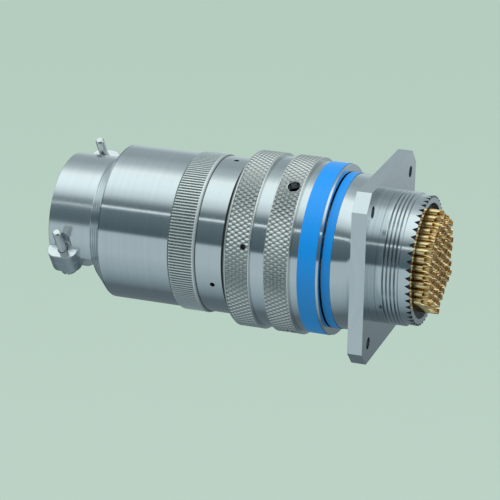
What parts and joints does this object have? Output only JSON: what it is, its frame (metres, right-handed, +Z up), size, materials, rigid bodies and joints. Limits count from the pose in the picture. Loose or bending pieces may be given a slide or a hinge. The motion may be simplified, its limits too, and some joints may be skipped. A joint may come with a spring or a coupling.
{
  "type": "circular connector",
  "caption": "Mated circular bayonet connector with square flange, knurled coupling ring, blue colour bands, backshell sleeve, screwed cable clamp and a field of gold solder contacts.",
  "frame": {"origin": "centre of the four-hole pattern on the flange's rear face, which meets the panel", "axes": "+X along the connector's axis from the cable clamp towards the solder contacts, +Z up, flange sides along Y and Z"},
  "size_m": [0.1064, 0.0484, 0.0484],
  "materials": {
    "turned_steel": "turned and passivated, satin",
    "dark_steel": "ground, dark",
    "screw_steel": "machined",
    "insulator": "moulded, dark",
    "seal_rubber": "moulded silicone, dark",
    "gold": "gold plated",
    "blue_band": "smooth paint"
  },
  "bodies": {
    "receptacle": {"receptacle_shell": "turned_steel", "bayonet_pins": "dark_steel", "receptacle_insert": "insulator", "receptacle_contacts": "gold", "receptacle_band": "blue_band"},
    "plug": {"plug_shell": "turned_steel", "nose_seal": "seal_rubber", "plug_insert": "insulator", "interface_seal": "seal_rubber", "plug_contacts": "gold", "leaf_springs": "dark_steel", "rear_collar": "turned_steel", "backshell_nut": "turned_steel", "backshell_sleeve": "turned_steel", "clamp_body": "turned_steel", "clamp_saddle": "turned_steel", "clamp_washers": "screw_steel", "clamp_screws": "screw_steel"},
    "coupling": {"coupling_ring": "turned_steel", "coupling_band": "blue_band"}
  },
  "joints": [
    {"name": "plug_slide", "type": "slide", "parent": "receptacle", "child": "plug", "axis": [-1, 0, 0], "range_m": [0, 0.0064]},
    {"name": "coupling_turn", "type": "hinge", "parent": "plug", "child": "coupling", "pos_m": [-0.0258, 0, 0], "axis": [-1, 0, 0], "range_deg": [0, 110]}
  ],
  "couplings": [
    {"joint": "coupling_turn", "follows": "plug_slide", "rad_per_m": 299.98}
  ]
}
